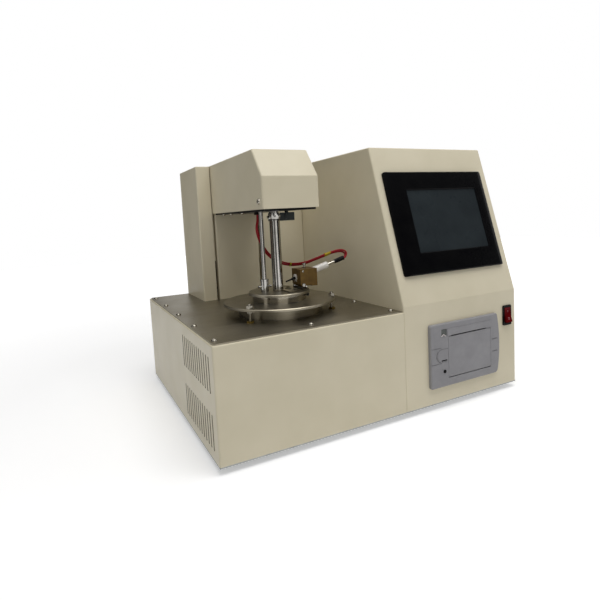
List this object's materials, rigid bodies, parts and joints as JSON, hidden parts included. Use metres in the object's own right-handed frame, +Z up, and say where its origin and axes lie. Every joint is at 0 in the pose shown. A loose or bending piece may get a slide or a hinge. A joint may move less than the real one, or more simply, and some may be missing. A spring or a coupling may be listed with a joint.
{
  "type": "flash point tester",
  "caption": "Closed-cup flash point tester with a lifting head, a lid with shutter, stirrer and dipping igniter over a heated cup, and a control cabinet with panel and printer",
  "frame": {"origin": "middle of the overall footprint at the height of the bench under the rubber feet", "axes": "+X to the right as the operator faces it, towards the control cabinet, +Y from front to back, +Z up"},
  "size_m": [0.46, 0.3792, 0.358],
  "materials": {
    "cream_paint": "matte",
    "deck_steel": "brushed",
    "bath_steel": "brushed",
    "chrome_parts": "polished",
    "zinc_steel": "satin",
    "aluminium_parts": "satin",
    "brass_parts": "satin",
    "black_motor": "satin",
    "black_plastic": "matte",
    "grey_plastic": "matte",
    "dark_grey_plastic": "matte",
    "screen_glass": "gloss",
    "rubber": "matte",
    "rocker_red": "gloss",
    "paper_white": "matte",
    "board_green": "matte",
    "white_ceramic": "glazed",
    "lead_red": "satin"
  },
  "bodies": {
    "base": {"base_shell": "cream_paint", "bottom_pan": "zinc_steel", "rubber_feet": "rubber", "deck_plate": "deck_steel", "control_shell": "cream_paint", "rear_panel": "cream_paint", "hmi_bezel": "black_plastic", "hmi_screen": "screen_glass", "printer_frame": "grey_plastic", "printer_body": "dark_grey_plastic", "paper_roll": "paper_white", "switch_housing": "black_plastic", "power_inlet": "black_plastic", "fuse_holder": "black_plastic", "power_supply": "zinc_steel", "controller_board": "board_green", "fan_frame": "black_plastic", "column_cover": "cream_paint", "column_panel": "cream_paint", "lift_frame": "aluminium_parts", "guide_rods": "chrome_parts", "lift_motor": "black_motor", "bath_plate": "bath_steel", "bath_skirt": "bath_steel", "bath_bolts": "chrome_parts", "bath_nuts": "brass_parts", "heater_block": "aluminium_parts", "test_cup": "brass_parts"},
    "head": {"head_cover": "cream_paint", "head_chassis": "black_motor", "carriage": "aluminium_parts", "lead_nut": "brass_parts", "stirrer_motor": "black_motor", "shutter_motor": "black_motor", "hanger_post": "chrome_parts", "temperature_probe": "chrome_parts", "probe_collar": "chrome_parts", "lid_plate": "bath_steel", "lid_ring": "bath_steel", "igniter_bracket": "chrome_parts", "lead_grommet": "rubber", "ignition_leads": "lead_red"},
    "lead_screw_body": {"lead_screw": "zinc_steel"},
    "stirrer_body": {"stirrer": "chrome_parts"},
    "shutter": {"shutter_tube": "chrome_parts", "shutter_plate": "bath_steel", "drive_lever": "black_motor"},
    "shutter_crank_body": {"shutter_crank": "aluminium_parts"},
    "igniter": {"igniter_block": "brass_parts", "electrode": "black_plastic", "insulator": "white_ceramic", "terminal_sleeve": "black_plastic"},
    "fan": {"fan_rotor": "black_plastic"},
    "paper_door": {"printer_door": "grey_plastic", "platen_roller": "rubber"},
    "door_latch": {"printer_latch": "dark_grey_plastic"},
    "paper_button": {"feed_button": "dark_grey_plastic"},
    "rocker": {"power_rocker": "rocker_red"}
  },
  "joints": [
    {"name": "head_lift", "type": "slide", "parent": "base", "child": "head", "axis": [0, 0, 1], "range_m": [0, 0.09]},
    {"name": "lead_screw_turn", "type": "hinge", "parent": "base", "child": "lead_screw_body", "pos_m": [-0.1001, 0.14659, 0.1425], "axis": [0, 0, 1], "range_deg": [0, 4050]},
    {"name": "stirrer_turn", "type": "hinge", "parent": "head", "child": "stirrer_body", "pos_m": [-0.1001, -0.07341, 0.164], "axis": [0, 0, 1], "continuous": true},
    {"name": "shutter_turn", "type": "hinge", "parent": "head", "child": "shutter", "pos_m": [-0.1001, -0.07341, 0.1717], "axis": [0, 0, -1], "range_deg": [0, 40]},
    {"name": "crank_turn", "type": "hinge", "parent": "head", "child": "shutter_crank_body", "pos_m": [-0.07257, -0.08343, 0.281], "axis": [0, 0, 1], "range_deg": [0, 48.8]},
    {"name": "igniter_dip", "type": "hinge", "parent": "head", "child": "igniter", "pos_m": [-0.0758, -0.08341, 0.1788], "axis": [0, -1, 0], "range_deg": [0, 44]},
    {"name": "fan_turn", "type": "hinge", "parent": "base", "child": "fan", "pos_m": [-0.178, 0.17059, 0.07], "axis": [0, 1, 0], "continuous": true},
    {"name": "paper_door_open", "type": "hinge", "parent": "base", "child": "paper_door", "pos_m": [0.1325, -0.18641, 0.045], "axis": [1, 0, 0], "range_deg": [0, 75]},
    {"name": "latch_press", "type": "slide", "parent": "base", "child": "door_latch", "axis": [0, 1, 0], "range_m": [0, 0.0015], "stiffness_N_per_m": 500, "springref_m": -0.001},
    {"name": "paper_button_press", "type": "slide", "parent": "base", "child": "paper_button", "axis": [0, 1, 0], "range_m": [0, 0.001], "stiffness_N_per_m": 400, "springref_m": -0.001},
    {"name": "rocker_turn", "type": "hinge", "parent": "base", "child": "rocker", "pos_m": [0.21165, -0.18241, 0.1112], "axis": [1, 0, 0], "range_deg": [0, 20]}
  ],
  "couplings": [
    {"joint": "lead_screw_turn", "follows": "head_lift", "rad_per_m": 785.4},
    {"joint": "crank_turn", "follows": "shutter_turn", "ratio": 1.22},
    {"joint": "igniter_dip", "follows": "shutter_turn", "ratio": 1.1}
  ]
}
